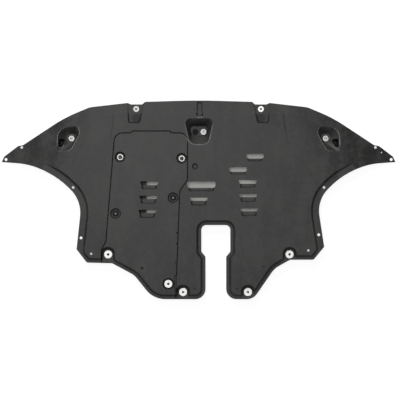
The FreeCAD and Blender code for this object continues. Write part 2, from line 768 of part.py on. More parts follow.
def louvre_slot(name, width, pad_width, length):
    """The opening of a louvre, narrower towards its pad; its front edge is at the origin."""
    return outline(name, [
        ("rear_left", f"-{pad_width} / 2", f"-{length}", None),
        ("rear_right", f"{pad_width} / 2", f"-{length}", None),
        ("side_right", f"{width} / 2", f"-{length} + slot_corner", None),
        ("front_right", f"{width} / 2", "0", "louvre_slot_round"),
        ("front_left", f"-{width} / 2", "0", "louvre_slot_round"),
        ("side_left", f"-{width} / 2", f"-{length} + slot_corner", None),
    ])


def louvre_pad(name, pad_width, length):
    """The floor of the sunken pad behind a slot."""
    return outline(name, [
        ("rear_left", f"-{pad_width} / 2 + louvre_pad_draft", f"-{length} + louvre_pad_draft", "pad_round"),
        ("rear_right", f"{pad_width} / 2 - louvre_pad_draft", f"-{length} + louvre_pad_draft", "pad_round"),
        ("front_right", f"{pad_width} / 2 - louvre_pad_draft", "-slot_corner", None),
        ("front_left", f"-{pad_width} / 2 + louvre_pad_draft", "-slot_corner", None),
    ])


slots = {
    "front": louvre_slot("front_slot", "louvre_width", "louvre_pad_width", "front_slot_length"),
    "middle": louvre_slot("middle_slot", "louvre_width", "louvre_pad_width", "middle_slot_length"),
    "rear": louvre_slot("rear_slot", "louvre_width", "louvre_pad_width", "rear_slot_length"),
    "wide": louvre_slot("wide_slot", "wide_louvre_width", "wide_pad_width", "wide_slot_length"),
}
pads = {
    "usual": louvre_pad("usual_pad", "louvre_pad_width", "louvre_length"),
    "wide": louvre_pad("wide_pad", "wide_pad_width", "wide_louvre_length"),
}
# Each louvre: its place, the length of its slot and its pad
SHIELD_LOUVRES = [
    ("louvre_one", "front", "usual"), ("louvre_two", "front", "usual"),
    ("louvre_three", "middle", "usual"), ("louvre_four", "rear", "usual"),
    ("louvre_five", "rear", "usual"), ("wide_louvre", "wide", "wide"),
    ("small_louvre", "rear", "usual"),
]
COVER_LOUVRES = [("cover_louvre_one", "middle", "usual"), ("cover_louvre_two", "rear", "usual"),
                 ("cover_louvre_three", "rear", "usual")]
# Round recesses of the cover, and the diameter of each
COVER_RECESSES = [
    ("screw_left", "-sizes.cover_screw_left_out", "sizes.cover_screw_left_fore", "cover_recess_diameter"),
    ("screw_right", "-sizes.cover_screw_right_out", "sizes.cover_screw_right_fore",
     "cover_recess_diameter"),
    ("clip_left", "-sizes.cover_clip_left_out", "-sizes.cover_clip_left_back", "cover_recess_diameter"),
    ("clip_right", "-sizes.cover_clip_right_out", "-sizes.cover_clip_right_back",
     "cover_recess_diameter"),
    ("collar", "-sizes.cover_collar_out", "-sizes.cover_collar_back", "collar_recess_diameter"),
]
# Small round marks left by the moulding tool's ejector pins
PIPS = [
    ("pip_right", "sizes.pip_right_out", "-sizes.pip_right_back"),
    ("pip_foot_right", "sizes.pip_foot_right_out", "-sizes.pip_foot_back"),
    ("pip_foot_left", "sizes.pip_foot_left_out", "-sizes.pip_foot_back"),
]
REAR_COLLARS = [
    ("rear_left", "-sizes.rear_collar_left_out", "-sizes.rear_collar_back"),
    ("rear_right", "sizes.rear_collar_right_out", "-sizes.rear_collar_back"),
    ("rear_centre_left", "-sizes.rear_inner_left_out", "-sizes.rear_inner_back"),
    ("rear_centre_right", "sizes.rear_inner_right_out", "-sizes.rear_inner_back"),
]


def placed(out, fore, level, pitch="0", roll="0"):
    """A placement formula: a place, then a tilt across the car and one along it."""
    return f"placement(vector({out}; {fore}; {level}); rotation(0; {pitch}; {roll}))"


def loft(name, floor, floor_place, rim, rim_place):
    """A hollow's inside, from its floor up to its rim."""
    ends = []
    for part_name, sketch, place in (("floor", floor, floor_place), ("rim", rim, rim_place)):
        end = make("Part::Compound", f"{name}_{part_name}", Placement=place)
        end.Links = [sketch]
        ends.append(end)
    item = doc.addObject("Part::Loft", name)
    item.Sections, item.Solid, item.Ruled = ends, True, True
    return item


def hollows(tag, depth):
    """Everything that is pressed below the road face, for a face that lies deeper."""
    field = f"sizes.field_top - {depth}"
    flange = f"sizes.flange_top - {depth}"
    slip = f"{depth} * sizes.draft_slip"
    rise = "sizes.flange_step + sizes.tool_lift"
    draft = "sizes.step_draft_angle"
    lowered = []
    for name, sketch, width in (("left_arch", arches["left"], "sizes.side_flange_width"),
                                ("right_arch", arches["right"], "sizes.side_flange_width"),
                                ("rear_edge", rear, "sizes.rear_flange_width")):
        wider = grown(f"{name}_{tag}_plan", sketch, f"{width} + {slip}")
        lowered.append(drafted(f"{name}_{tag}", wider, flange, rise, draft))
    wider = recess if depth == "0" else grown(f"recess_{tag}_plan", recess, slip)
    for name, out, fore in REAR_COLLARS:
        lowered.append(drafted(f"{name}_recess_{tag}", wider, flange, rise, draft, out, fore))
    for side, sign in (("left", "-"), ("right", "")):
        wider = tabs[side] if depth == "0" else grown(f"{side}_tab_{tag}_plan", tabs[side], slip)
        lowered.append(drafted(f"{side}_tab_{tag}", wider, f"sizes.tab_level - {depth}", rise, draft,
                               f"{sign}sizes.tab_out", "sizes.tab_fore"))
    low_ground = fuse(f"low_ground_{tag}", lowered)

    apron = make("Part::Extrusion", f"apron_{tag}", LengthFwd="sizes.far_out",
                 LengthRev="sizes.far_out", Placement__Base__z=f"-({depth})")
    apron.Base, apron.Solid, apron.DirMode, apron.Dir = apron_side, True, "Custom", V(1, 0, 0)
    smaller = plateau if depth == "0" else grown(f"plateau_{tag}_plan", plateau, f"-({slip})")
    raised = drafted(f"plateau_{tag}", smaller, field, "sizes.tool_overrun", "sizes.plateau_draft_angle")
    raised.Dir = -UP
    apron = cut(f"apron_cut_{tag}", apron, raised)

    wings = []
    for side, sign in (("left", ""), ("right", "-")):
        wing = make("Part::Extrusion", f"{side}_wing_{tag}", LengthFwd="sizes.far_out",
                    LengthRev="sizes.far_out", Placement__Base__z=f"-({depth})",
                    Dir__x=f"{sign}sin(sizes.crease_lean_angle)",
                    Dir__y="cos(sizes.crease_lean_angle)", Dir__z="-tan(sizes.crease_fall_angle)")
        wing.Base, wing.Solid, wing.DirMode = wing_side[side], True, "Custom"
        wings.append(wing)

    def wide(name, sketch):
        return sketch if depth == "0" else grown(f"{name}_{tag}_plan", sketch, slip)

    deep = [loft(f"pocket_{tag}",
                 wide("pocket_floor", pocket_floor), placed(0, 0, f"{field} - sizes.pocket_depth"),
                 wide("pocket_rim", pocket_rim), placed(0, 0, field))]
    for side, sign, turn in (("left", "-", "-"), ("right", "", "")):
        out, fore = f"{sign}sizes.scoop_out", "sizes.scoop_fore"
        dish = loft(f"{side}_dish_{tag}",
                    wide(f"{side}_scoop_seat", scoop_seats[side]),
                    placed(out, fore, f"{field} - sizes.scoop_depth"),
                    wide(f"{side}_scoop_rim", scoop_rims[side]),
                    placed(out, fore, f"sizes.scoop_rim_level - {depth}", f"{turn}sizes.wing_pitch",
                           "-sizes.wing_roll"))
        pit = drafted(f"{side}_pit_{tag}", wide(f"{side}_pit", pits[side]),
                      f"{field} - sizes.pit_depth", "sizes.pit_depth", "sizes.pit_draft_angle", out, fore)
        deep.append(fuse(f"{side}_scoop_{tag}", [dish, pit]))
    channel = make("Part::Extrusion", f"groove_{tag}", LengthFwd="sizes.tool_overrun", TaperAngle=draft,
                   Placement=placed(0, "sizes.apron_back_fore", f"{field} - sizes.groove_depth", 0,
                                    "-sizes.apron_fall_angle")
                   + " * " + placed(0, "-sizes.apron_back_fore", 0))
    channel.Base, channel.Solid = wide("groove", groove), True
    channel.DirMode, channel.Dir = "Custom", UP
    deep.append(channel)
    deep.append(tube_hole(f"dimple_{tag}", f"sizes.dimple_diameter + 2 * {depth}",
                          f"{field} - sizes.dimple_depth", "sizes.tool_overrun",
                          "sizes.dimple_out", "sizes.dimple_fore"))
    for name, out, fore in PIPS:
        deep.append(tube_hole(f"{name}_{tag}", f"sizes.pip_diameter + 2 * {depth}",
                              f"{field} - sizes.pip_depth", "sizes.tool_overrun", out, fore))
    for name, out, fore, diameter in COVER_RECESSES:
        cone = make("Part::Cone", f"{name}_recess_{tag}", Radius1=f"sizes.{diameter} / 2 + {slip}",
                    Radius2=f"sizes.{diameter} / 2 + {slip} + sizes.tool_overrun * sizes.recess_draft",
                    Height="sizes.tool_overrun", Placement__Base__x=out, Placement__Base__y=fore,
                    Placement__Base__z=f"{field} - sizes.cover_recess_depth")
        deep.append(cone)
    for name, _, pad in SHIELD_LOUVRES + COVER_LOUVRES:
        plan_here = wide(f"{name}_pad", pads[pad])
        deep.append(drafted(f"{name}_pad_{tag}", plan_here, f"{field} - sizes.louvre_pad_depth",
                            "sizes.tool_overrun", "sizes.louvre_pad_angle",
                            f"sizes.{name}_out", f"sizes.{name}_fore"))
    return low_ground, apron, group(f"wings_{tag}", wings), group(f"deep_{tag}", deep)


def mould(tag, depth):
    """All that lies below the road face, or below a face parallel to it and deeper."""
    body = make("Part::Box", f"block_{tag}", Length="2 * sizes.far_out", Width="2 * sizes.far_out",
                Height=f"sizes.field_top + sizes.tool_overrun - {depth}", Placement__Base__x="-sizes.far_out",
                Placement__Base__y="-sizes.far_out", Placement__Base__z="-sizes.tool_overrun")
    for index, tool in enumerate(hollows(tag, depth)):
        body = cut(f"mould_{tag}_{index}", body, tool)
    return body


road = mould("road", "0")
inner = mould("inner", "sizes.sheet_thickness")
ledge = mould("ledge", "2 * sizes.sheet_thickness")

# Edge of the part all the way round
low, tall = "-sizes.tool_lift", "sizes.field_top + 2 * sizes.tool_lift"
outer = prism("plan_prism", plan, low, tall)
taken = fuse("taken_away", [prism(f"{name}_prism", sketch, f"2 * {low}", f"2 * ({tall})")
                            for name, sketch in (("left_arch", arches["left"]),
                                                 ("right_arch", arches["right"]), ("rear", rear))])
outer = cut("edge_prism", outer, taken)

# The skin is one sheet; the seam divides it into the shield and the cover, and the
# shield has a second sheet under the cover, which carries it
skin = cut("skin", common("skin_block", outer, road), inner)
cover_prism = prism("cover_prism", grown("cover_edge", cover_plan, "-sizes.seam_gap / 2"), low, tall)
seam_prism = prism("seam_prism", grown("seam_edge", cover_plan, "sizes.seam_gap / 2"), low, tall)
ledge_prism = prism("ledge_prism",
                    grown("ledge_edge", cover_plan, "sizes.seam_gap / 2 + sizes.sheet_thickness"),
                    low, tall)
window_prism = prism("window_prism", window, low, tall)
under = cut("under_sheet", common("under_block", common("under_edge", outer, ledge_prism), inner), ledge)
under = cut("under_frame", under, window_prism)
around = cut("skin_around_cover", skin, seam_prism)
shield_sheet = fuse("shield_sheet", [around, under])
cover_sheet = common("cover_sheet", skin, cover_prism)

# Collars, and the bosses that are moulded under them
cell("sleeve_hole", "=collar_sleeve_diameter + 2 * collar_clearance")
cell("boss_diameter", "=sleeve_hole + 2 * boss_wall")
cell("scoop_floor", "=field_top - scoop_depth")
cell("pocket_bottom", "=field_top - pocket_depth")
cell("recess_floor", "=field_top - cover_recess_depth")
# Each collar: its place, the level that it sits on, the sheets under it, how far its
# boss reaches down, and its diameter
COLLARS = [
    ("front_left_collar", "-sizes.tab_out", "sizes.tab_fore", "tab_level", 1, "short", "small"),
    ("front_right_collar", "sizes.tab_out", "sizes.tab_fore", "tab_level", 1, "short", "small"),
    ("left_scoop_collar", "-sizes.scoop_out", "sizes.scoop_fore", "scoop_floor", 1, "short", "small"),
    ("right_scoop_collar", "sizes.scoop_out", "sizes.scoop_fore", "scoop_floor", 1, "short", "small"),
    ("centre_pocket_collar", "sizes.pocket_collar_out", "sizes.pocket_fastener_fore",
     "pocket_bottom", 1, "short", "small"),
    ("cover_collar", "-sizes.cover_collar_out", "-sizes.cover_collar_back", "recess_floor", 2,
     "short", "large"),
]
for index, (name, out, fore) in enumerate(REAR_COLLARS):
    COLLARS.append((name + "_collar", out, fore, "flange_top", 2 if index == 0 else 1, "ground", "large"))


def turned(label, corners, out, fore, level):
    """A body turned from half of its section: radius, then height above its seat."""
    body = doc.addObject("PartDesign::Body", label)
    plane = [o for o in body.Origin.OriginFeatures if o.Role == "XZ_Plane"][0]
    sketch = body.newObject("Sketcher::SketchObject", label + "_section")
    sketch.AttachmentSupport, sketch.MapMode = [(plane, "")], "FlatFace"
    corner_cells(label, corners)
    add_outline(sketch, label, corners)
    spin = body.newObject("PartDesign::Revolution", label + "_turning")
    spin.Profile, spin.ReferenceAxis = (sketch, []), (sketch, ["V_Axis"])
    bind(body, Placement__Base__x=out, Placement__Base__y=fore, Placement__Base__z=level)
    body.Label = label
    return body


def collar(label, out, fore, level, reach, size):
    """A sleeve with a round flange on the road side, eased at the rim and in the bore."""
    bore, sleeve = "collar_bore / 2", "collar_sleeve_diameter / 2"
    rim, thick, ease = f"{size}_collar_diameter / 2", "collar_flange_thickness", "collar_ease"
    return turned(label, [
        ("bore_foot", bore, f"-({reach})", None),
        ("foot", sleeve, f"-({reach})", None),
        ("neck", sleeve, "0", None),
        ("under_rim", rim, "0", None),
        ("rim", rim, f"{thick} - {ease}", None),
        ("rim_top", f"{rim} - {ease}", thick, None),
        ("bore_top", f"{bore} + {ease}", thick, None),
        ("bore_edge", bore, f"{thick} - {ease}", None),
    ], out, fore, level)


parts = []
bosses, holes, cover_holes = [], [], []
for name, out, fore, level, sheets, reach, size in COLLARS:
    if reach == "ground":
        cell(f"{name}_drop", f"={level}")
    else:
        cell(f"{name}_drop", f"={sheets} * sheet_thickness + short_boss_length")
    drop, top = f"sizes.{name}_drop", f"sizes.{level}"
    parts.append(collar(name, out, fore, top, f"{name}_drop - sleeve_relief", size))
    boss = tube_hole(f"{name}_boss", "sizes.boss_diameter", f"{top} - {drop}",
                     f"{drop} - {sheets} * sizes.sheet_thickness + sizes.weld", out, fore)
    bosses.append(boss)
    hole = tube_hole(f"{name}_hole", "sizes.sleeve_hole", "-sizes.tool_lift",
                     "sizes.field_top + 2 * sizes.tool_lift", out, fore)
    holes.append(hole)
    if sheets == 2:
        cover_holes.append(hole)
SMALL_HOLES = [
    ("left_tip", "-sizes.tip_hole_out", "sizes.tip_hole_fore", "tip_hole_diameter"),
    ("right_tip", "sizes.tip_hole_out", "sizes.tip_hole_fore", "tip_hole_diameter"),
    ("left_lug", "-sizes.lug_hole_out", "sizes.lug_hole_fore", "clip_hole_diameter"),
    ("right_lug", "sizes.lug_hole_out", "sizes.lug_hole_fore", "clip_hole_diameter"),
    ("left_arch", "-sizes.arch_hole_out", "sizes.arch_hole_fore", "clip_hole_diameter"),
    ("right_arch", "sizes.arch_hole_out", "sizes.arch_hole_fore", "clip_hole_diameter"),
    ("left_side", "-sizes.left_side_hole_out", "-sizes.left_side_hole_back", "clip_hole_diameter"),
    ("right_side", "sizes.right_side_hole_out", "-sizes.right_side_hole_back", "clip_hole_diameter"),
    ("left_drain", "-sizes.left_drain_out", "-sizes.left_drain_back", "drain_diameter"),
    ("right_drain", "sizes.right_drain_out", "-sizes.right_drain_back", "drain_diameter"),
    ("wing_vent", "sizes.vent_out", "sizes.vent_fore", "vent_diameter"),
]
for name, out, fore, diameter in SMALL_HOLES:
    holes.append(tube_hole(f"{name}_hole", f"sizes.{diameter}", low, tall, out, fore))
cover_holes.append(tube_hole("cover_drain_hole", "sizes.cover_drain_diameter", low, tall,
                             "-sizes.cover_drain_out", "-sizes.cover_drain_back"))

# Notches in the cover's straight edge, where it is lifted out, and a longer slit behind them
cell("seam_lean", "=(cover_foot_out - cover_waist_out) / (far_back - cover_waist_back)")
for name, length in (("notch_one", "notch_length"), ("notch_two", "notch_length"),
                     ("notch_three", "notch_length"), ("slit", "slit_length")):
    edge = f"(sizes.cover_waist_out + (sizes.{name}_back - sizes.cover_waist_back) * sizes.seam_lean)"
    cover_holes.append(make("Part::Box", f"cover_{name}", Length="sizes.notch_reach",
                            Width=f"sizes.{length}", Height=tall, Placement__Base__z=low,
                            Placement__Base__x=f"-{edge} - sizes.notch_reach",
                            Placement__Base__y=f"-sizes.{name}_back - sizes.{length} / 2"))

for louvres, openings in ((SHIELD_LOUVRES, holes), (COVER_LOUVRES, cover_holes)):
    for name, slot, _ in louvres:
        opening = prism(f"{name}_slot", slots[slot], low, tall)
        openings.append(bind(opening, Placement__Base__x=f"sizes.{name}_out",
                             Placement__Base__y=f"sizes.{name}_fore"))

# Cover screws with their washers and nuts, and the push clips
cell("screw_hole", "=screw_diameter + 2 * screw_hole_clearance")
cell("clip_hole", "=clip_shank_diameter + 2 * clip_hole_clearance")
cell("washer_top", "=recess_floor + washer_thickness")
cell("nut_seat", "=recess_floor - 2 * sheet_thickness")


def crossed(body, label, level):
    """A cross recess in the head of a screw or a clip pin."""
    plane = [o for o in body.Origin.OriginFeatures if o.Role == "XY_Plane"][0]
    sketch = body.newObject("Sketcher::SketchObject", label + "_drive")
    sketch.AttachmentSupport, sketch.MapMode = [(plane, "")], "FlatFace"
    sketch.setExpression("AttachmentOffset.Base.z", level)
    wide, long = "drive_width / 2", "drive_length / 2"
    corners = []
    for quarter, (x1, y1, x2, y2, x3, y3) in enumerate([
            (wide, "-" + long, wide, "-" + wide, long, "-" + wide),
            (long, wide, wide, wide, wide, long),
            ("-" + wide, long, "-" + wide, wide, "-" + long, wide),
            ("-" + long, "-" + wide, "-" + wide, "-" + wide, "-" + wide, "-" + long)]):
        corners += [(f"enter_{quarter}", x1, y1, None), (f"inner_{quarter}", x2, y2, None),
                    (f"leave_{quarter}", x3, y3, None)]
    corner_cells(label + "_drive", corners)
    add_outline(sketch, label + "_drive", corners)
    pocket = body.newObject("PartDesign::Pocket", label + "_cross")
    pocket.Profile = sketch
    pocket.setExpression("Length", "sizes.drive_depth")
    body.Tip = pocket
    return body


def washer(label, out, fore):
    """A flat ring on the floor of its recess."""
    ease = "collar_ease"
    return turned(label, [
        ("bore_foot", "washer_hole / 2", "0", None),
        ("foot", "washer_diameter / 2", "0", None),
        ("rim", "washer_diameter / 2", f"washer_thickness - {ease}", None),
        ("rim_top", f"washer_diameter / 2 - {ease}", "washer_thickness", None),
        ("bore_top", "washer_hole / 2", "washer_thickness", None),
    ], out, fore, "sizes.recess_floor")


def screw(label, out, fore):
    """A pan-head screw on its washer, with a plain shank and a cross recess."""
    body = turned(label, [
        ("point", "0", "-screw_length", None),
        ("point_edge", "screw_diameter / 2 - screw_point", "-screw_length", None),
        ("tip", "screw_diameter / 2", "-screw_length + screw_taper", None),
        ("neck", "screw_diameter / 2", "0", None),
        ("under_head", "screw_head_diameter / 2", "0", None),
        ("head_side", "screw_head_diameter / 2", "screw_head_side", None),
        ("head_round", "screw_head_diameter / 2 - screw_head_round", "screw_head_height",
         "screw_head_round"),
        ("crown", "0", "screw_head_height", None),
    ], out, fore, "sizes.washer_top")
    return crossed(body, label, "sizes.screw_head_height")


def nut(label, out, fore):
    """A pressed nut under the ledge: a round flange and a plain turned body."""
    bore = "screw_diameter / 2 + nut_bore_clearance"
    return turned(label, [
        ("bore_foot", bore, "-nut_flange_thickness - nut_height", None),
        ("foot", "nut_width / 2", "-nut_flange_thickness - nut_height", None),
        ("neck", "nut_width / 2", "-nut_flange_thickness", None),
        ("under_flange", "nut_flange_diameter / 2", "-nut_flange_thickness", None),
        ("flange", "nut_flange_diameter / 2", "0", None),
        ("bore_top", bore, "0", None),
    ], out, fore, "sizes.nut_seat")


def clip_body(label, out, fore, level, sheets):
    """The outer half of a push clip: a dished head and a hollow barbed shank."""
    bore = "clip_shank_diameter / 2 - clip_wall"
    barb = "clip_shank_diameter / 2 + clip_barb"
    grip = f"{sheets} * sheet_thickness + clip_grip"
    dish = "pin_head_diameter / 2 + clip_dish_gap"
    return turned(label, [
        ("bore_foot", bore, "-clip_shank_length", None),
        ("foot", f"{bore} + clip_wall / 2", "-clip_shank_length", None),
        ("barb", barb, f"-({grip}) - clip_barb_length", None),
        ("catch", "clip_shank_diameter / 2", f"-({grip})", None),
        ("neck", "clip_shank_diameter / 2", "0", None),
        ("under_head", "clip_head_diameter / 2", "0", None),
        ("rim", "clip_head_diameter / 2", "clip_head_height - clip_bevel / 2", None),
        ("rim_top", "clip_head_diameter / 2 - clip_bevel", "clip_head_height", None),
        ("dish_edge", f"{dish} + clip_dish_bevel", "clip_head_height", None),
        ("dish", dish, "clip_head_height / 2", None),
        ("bore_top", bore, "clip_head_height / 2", None),
    ], out, fore, level)


def clip_pin(label, out, fore, level, cross):
    """The pin that spreads a push clip, with a flat head or a cross recess in it."""
    shank = "clip_shank_diameter / 2 - clip_wall - pin_fit"
    seat = "clip_head_height / 2"
    point = "-clip_shank_length + pin_relief"
    body = turned(label, [
        ("point", "0", point, None),
        ("point_edge", f"{shank} - pin_point", point, None),
        ("tip", shank, f"{point} + pin_taper", None),
        ("neck", shank, seat, None),
        ("under_head", "pin_head_diameter / 2", seat, None),
        ("head_side", "pin_head_diameter / 2", f"{seat} + pin_head_height / 2", None),
        ("head_top", "pin_head_diameter / 2 - pin_bevel", f"{seat} + pin_head_height", None),
        ("crown", "0", f"{seat} + pin_head_height", None),
    ], out, fore, level)
    if cross:
        crossed(body, label, "sizes.clip_head_height / 2 + sizes.pin_head_height")
    return body


for side in ("left", "right"):
    out, fore = f"-sizes.cover_screw_{side}_out", f"sizes.cover_screw_{side}_fore"
    parts += [washer(f"cover_washer_{side}", out, fore), screw(f"cover_screw_{side}", out, fore),
              nut(f"cover_nut_{side}", out, fore)]
    hole = tube_hole(f"cover_screw_{side}_hole", "sizes.screw_hole", low, tall, out, fore)
    holes.append(hole)
    cover_holes.append(hole)
    out, fore = f"-sizes.cover_clip_{side}_out", f"-sizes.cover_clip_{side}_back"
    parts += [clip_body(f"cover_clip_{side}", out, fore, "sizes.recess_floor", 2),
              clip_pin(f"cover_clip_pin_{side}", out, fore, "sizes.recess_floor", False)]
    hole = tube_hole(f"cover_clip_{side}_hole", "sizes.clip_hole", low, tall, out, fore)
    holes.append(hole)
    cover_holes.append(hole)
out, fore = "-sizes.pocket_fastener_out", "sizes.pocket_fastener_fore"
parts += [clip_body("pocket_clip", out, fore, "sizes.pocket_bottom", 1),
          clip_pin("pocket_clip_pin", out, fore, "sizes.pocket_bottom", True)]
holes.append(tube_hole("pocket_clip_hole", "sizes.clip_hole", low, tall, out, fore))

shield = cut("main_shield", fuse("shield_with_bosses", [shield_sheet] + bosses), group("shield_holes", holes))
cover = cut("service_cover", cover_sheet, group("cover_holes", cover_holes))
shield.Label, cover.Label = "main_shield", "service_cover"
parts += [shield, cover]

doc.recompute()
for item in doc.Objects:
    if "Invalid" in item.State or "Error" in item.State:
        raise RuntimeError(f"{item.Label} could not be built: {item.State}")
for item in parts:
    if item.Shape.isNull() or not item.Shape.isValid():
        raise RuntimeError(f"{item.Label} has no valid shape")
os.makedirs("parts", exist_ok=True)
for item in parts:
    item.Shape.exportStep(f"parts/{item.Label}.step")
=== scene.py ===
"""Looks of the engine splash shield: grained dusty plastic, bright collars, studio light."""

import bpy
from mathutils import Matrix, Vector


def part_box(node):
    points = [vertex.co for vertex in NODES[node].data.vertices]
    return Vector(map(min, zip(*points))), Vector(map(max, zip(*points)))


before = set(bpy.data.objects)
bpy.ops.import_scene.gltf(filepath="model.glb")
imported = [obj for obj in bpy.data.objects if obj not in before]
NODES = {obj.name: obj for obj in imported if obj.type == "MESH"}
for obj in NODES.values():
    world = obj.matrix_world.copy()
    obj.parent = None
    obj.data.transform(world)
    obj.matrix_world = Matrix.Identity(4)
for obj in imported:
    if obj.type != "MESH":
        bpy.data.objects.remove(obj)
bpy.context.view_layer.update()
bpy.ops.object.select_all(action="DESELECT")

MM = 0.001
OUT, FORE, UP = range(3)

# The photograph's frame: its width on the part, and the point of the part in its middle
PICTURE_WIDTH = 1480.0 * MM
PICTURE_CENTRE = (5.2 * MM, -0.7 * MM)
CAMERA_HEIGHT = 5.2
SENSOR_WIDTH = 36.0


# Shader nodes


class Socket:
    """A node's output, whose operators add Math nodes."""

    def __init__(self, finish, output):
        self.finish, self.output = finish, output

    def maths(self, operation, *values):
        """The operation on this value and on those that follow."""
        slots = {f"_{number}": value for number, value in enumerate((self, *values))}
        return self.finish.value("ShaderNodeMath", {"operation": operation}, **slots)

    def __add__(self, other):
        return self.maths("ADD", other)

    def __sub__(self, other):
        return self.maths("SUBTRACT", other)

    def __rsub__(self, other):
        return self.maths("MULTIPLY", -1.0).maths("ADD", other)

    def __mul__(self, other):
        return self.maths("MULTIPLY", other)

    __radd__, __rmul__ = __add__, __mul__

    def least(self, other):
        """The lesser of two values."""
        return self.maths("MINIMUM", other)

    def most(self, other):
        """The greater of two values."""
        return self.maths("MAXIMUM", other)

    def size(self):
        """The value without its sign."""
        return self.maths("ABSOLUTE")

    def soft_least(self, other, reach):
        """The lesser of two values, blended where they are less than reach apart."""
        return self.maths("SMOOTH_MIN", other, reach)

    def bend(self, first, last, half):
        """The height of a line that falls at one slope, then bends about 0 to another."""
        turned = (self + half).least(2.0 * half).most(0.0)
        past = (self - half).most(0.0)
        more = last - first
        return self * -first - turned * turned * (more / (4.0 * half)) - past * more

    def ramp(self, start, full):
        """0 below start, 1 above full, and a smooth rise between them."""
        return self.finish.value(
            "ShaderNodeMapRange", {"interpolation_type": "SMOOTHSTEP"}, Value=self,
            From_Min=start, From_Max=full)


class Finish:
    """A material on object coordinates."""

    def __init__(self, name):
        self.material = bpy.data.materials.new(name)
        self.material.use_nodes = True
        self.tree = self.material.node_tree
        self.tree.nodes.clear()
        self.at = self.value("ShaderNodeTexCoord", output="Object")

    def add(self, kind, settings=None, **inputs):
        """A node of a kind: its settings first, then the values or links of its sockets.

        A socket goes by its name, or by _ and its number.
        """
        node = self.tree.nodes.new(kind)
        for name, value in (settings or {}).items():
            setattr(node, name, value)
        for name, value in inputs.items():
            slot = node.inputs[int(name[1:]) if name.startswith("_") else name.replace("_", " ")]
            if isinstance(value, Socket):
                self.tree.links.new(value.output, slot)
            else:
                slot.default_value = value
        return node

    def value(self, kind, settings=None, output=0, **inputs):
        """An output of a new node."""
        return Socket(self, self.add(kind, settings, **inputs).outputs[output])

    def close(self, shader):
        """The material, with a shader as its surface."""
        self.add("ShaderNodeOutputMaterial", Surface=shader)
        return self.material

    def noise(self, scale, detail, roughness, stretch=(1.0, 1.0, 1.0)):
        """Noise from 0 to 1, with a cell of 1 / scale metres."""
        place = self.value("ShaderNodeMapping", Vector=self.at, Scale=stretch)
        return self.value("ShaderNodeTexNoise", Vector=place, Scale=scale, Detail=detail,
                          Roughness=roughness)

    def mix(self, factor, first, second):
        """One colour painted over another by a mask."""
        return self.value("ShaderNodeMix", {"data_type": "RGBA"}, output=2,
                          _0=factor, _6=first, _7=second)

    def bump(self, height, relief, **normal):
        """The normal of a height, for a relief of a strength and a distance."""
        strength, distance = relief
        return self.value("ShaderNodeBump", Strength=strength, Distance=distance, Height=height,
                          **normal)

    def along(self, axis, vector):
        """What a vector measures along an axis."""
        return self.value("ShaderNodeSeparateXYZ", output=axis, Vector=vector)

    def facing(self):
        """How far the surface faces up, from -1 to 1."""
        return self.along(UP, self.value("ShaderNodeTexCoord", output="Normal"))

    def rounded(self, radius):
        """The normal of edges rounded to a radius, and how far it turns from the flat faces."""
        normal = self.value("ShaderNodeBevel", {"samples": 4}, Radius=radius)
        flat = self.value("ShaderNodeNewGeometry", output="Normal")
        cosine = self.value("ShaderNodeVectorMath", {"operation": "DOT_PRODUCT"}, output="Value",
                            _0=normal, _1=flat)
        return normal, 1.0 - cosine

    def away(self, *places):
        """How far the surface is from the nearest of some places."""
        nearest, *others = (
            self.value("ShaderNodeVectorMath", {"operation": "DISTANCE"}, output="Value",
                       _0=self.at, _1=place) for place in places)
        for other in others:
            nearest = nearest.least(other)
        return nearest

    def open_sky(self, reach):
        """How open the surface lies to what is within reach: 1 on a flat, less in a corner."""
        return self.value("ShaderNodeAmbientOcclusion", {"samples": 6}, output="AO",
                          Distance=reach)


# How many times as much blue as it gains red a warm grey loses
BLUE_LOSS = 1.6


def grey(level, warmth=0.0):
    """A linear grey, slightly warm where warmth is above 0."""
    return (level * (1.0 + warmth), level, level * (1.0 - BLUE_LOSS * warmth), 1.0)


# Plastic of the shield and the cover

# Patterns: cells per metre, detail, roughness, and the stretch of the streaks
CLOUDS = (7.0, 4.0, 0.6)
STREAKS = (22.0, 3.0, 0.55, (1.0, 0.35, 1.0))
MOTTLE = (60.0, 4.0, 0.65)
GRAIN = (620.0, 2.0, 0.55)

# Dust: the shares of the patterns in it, where it starts and is full, and its specks
CLOUD_SHARE, STREAK_SHARE, MOTTLE_SHARE = 0.35, 0.35, 0.3
DUSTY, SPECKED = (0.4, 0.6), (0.58, 0.8)
SPECK_SHARE, SPECK_LIGHT = 0.35, 1.4
PLASTIC_WARMTH, DUST_WARMTH, SPECK_WARMTH = 0.01, 0.015, 0.02

# Painted shade: how near the walls are, and how open the sky is where it is full and where it
# ends
CORNER_REACH, CORNER_SKY = 6.0 * MM, (0.5, 0.93)
HOLLOW_REACH, HOLLOW_SKY = 60.0 * MM, (0.2, 0.7)
STEEP_FACING = (0.3, 0.62)
CORNER_SHARE, HOLLOW_SHARE, STEEP_SHARE, TAB_SHADE_SHARE = 0.95, 0.9, 0.45, 0.3
PLASTIC_SHADE_GREY = 0.0006
# The floors of the front tabs, where painted shade darkens them behind the collars
TAB_PLACES = ((-228.0 * MM, 300.0 * MM, 36.0 * MM), (228.0 * MM, 300.0 * MM, 36.0 * MM))
TAB_REACH = (10.0 * MM, 27.0 * MM)
TAB_LEVELS = (37.0 * MM, 38.5 * MM)
# The low step along the front: painted shade nearly lifted, and painted light where it slants
STEP_FORE = 323.0 * MM
STEP_REACH = (5.0 * MM, 10.0 * MM)
STEP_SHADE_LIFT, STEP_PAINTED_LIGHT = 0.9, 0.05
SLANTED_FACING = (0.8, 0.97)

# Edge wear and painted highlight: the radius that rounds them, how far they turn where both
# start and are full
EDGE_RADIUS, EDGE_TURN = 2.5 * MM, (0.03, 0.2)
WORN_HIGHLIGHT_GREY, RIM_HIGHLIGHT_GREY, WEAR_AND_HIGHLIGHT_WARMTH = 0.06, 0.29, 0.01
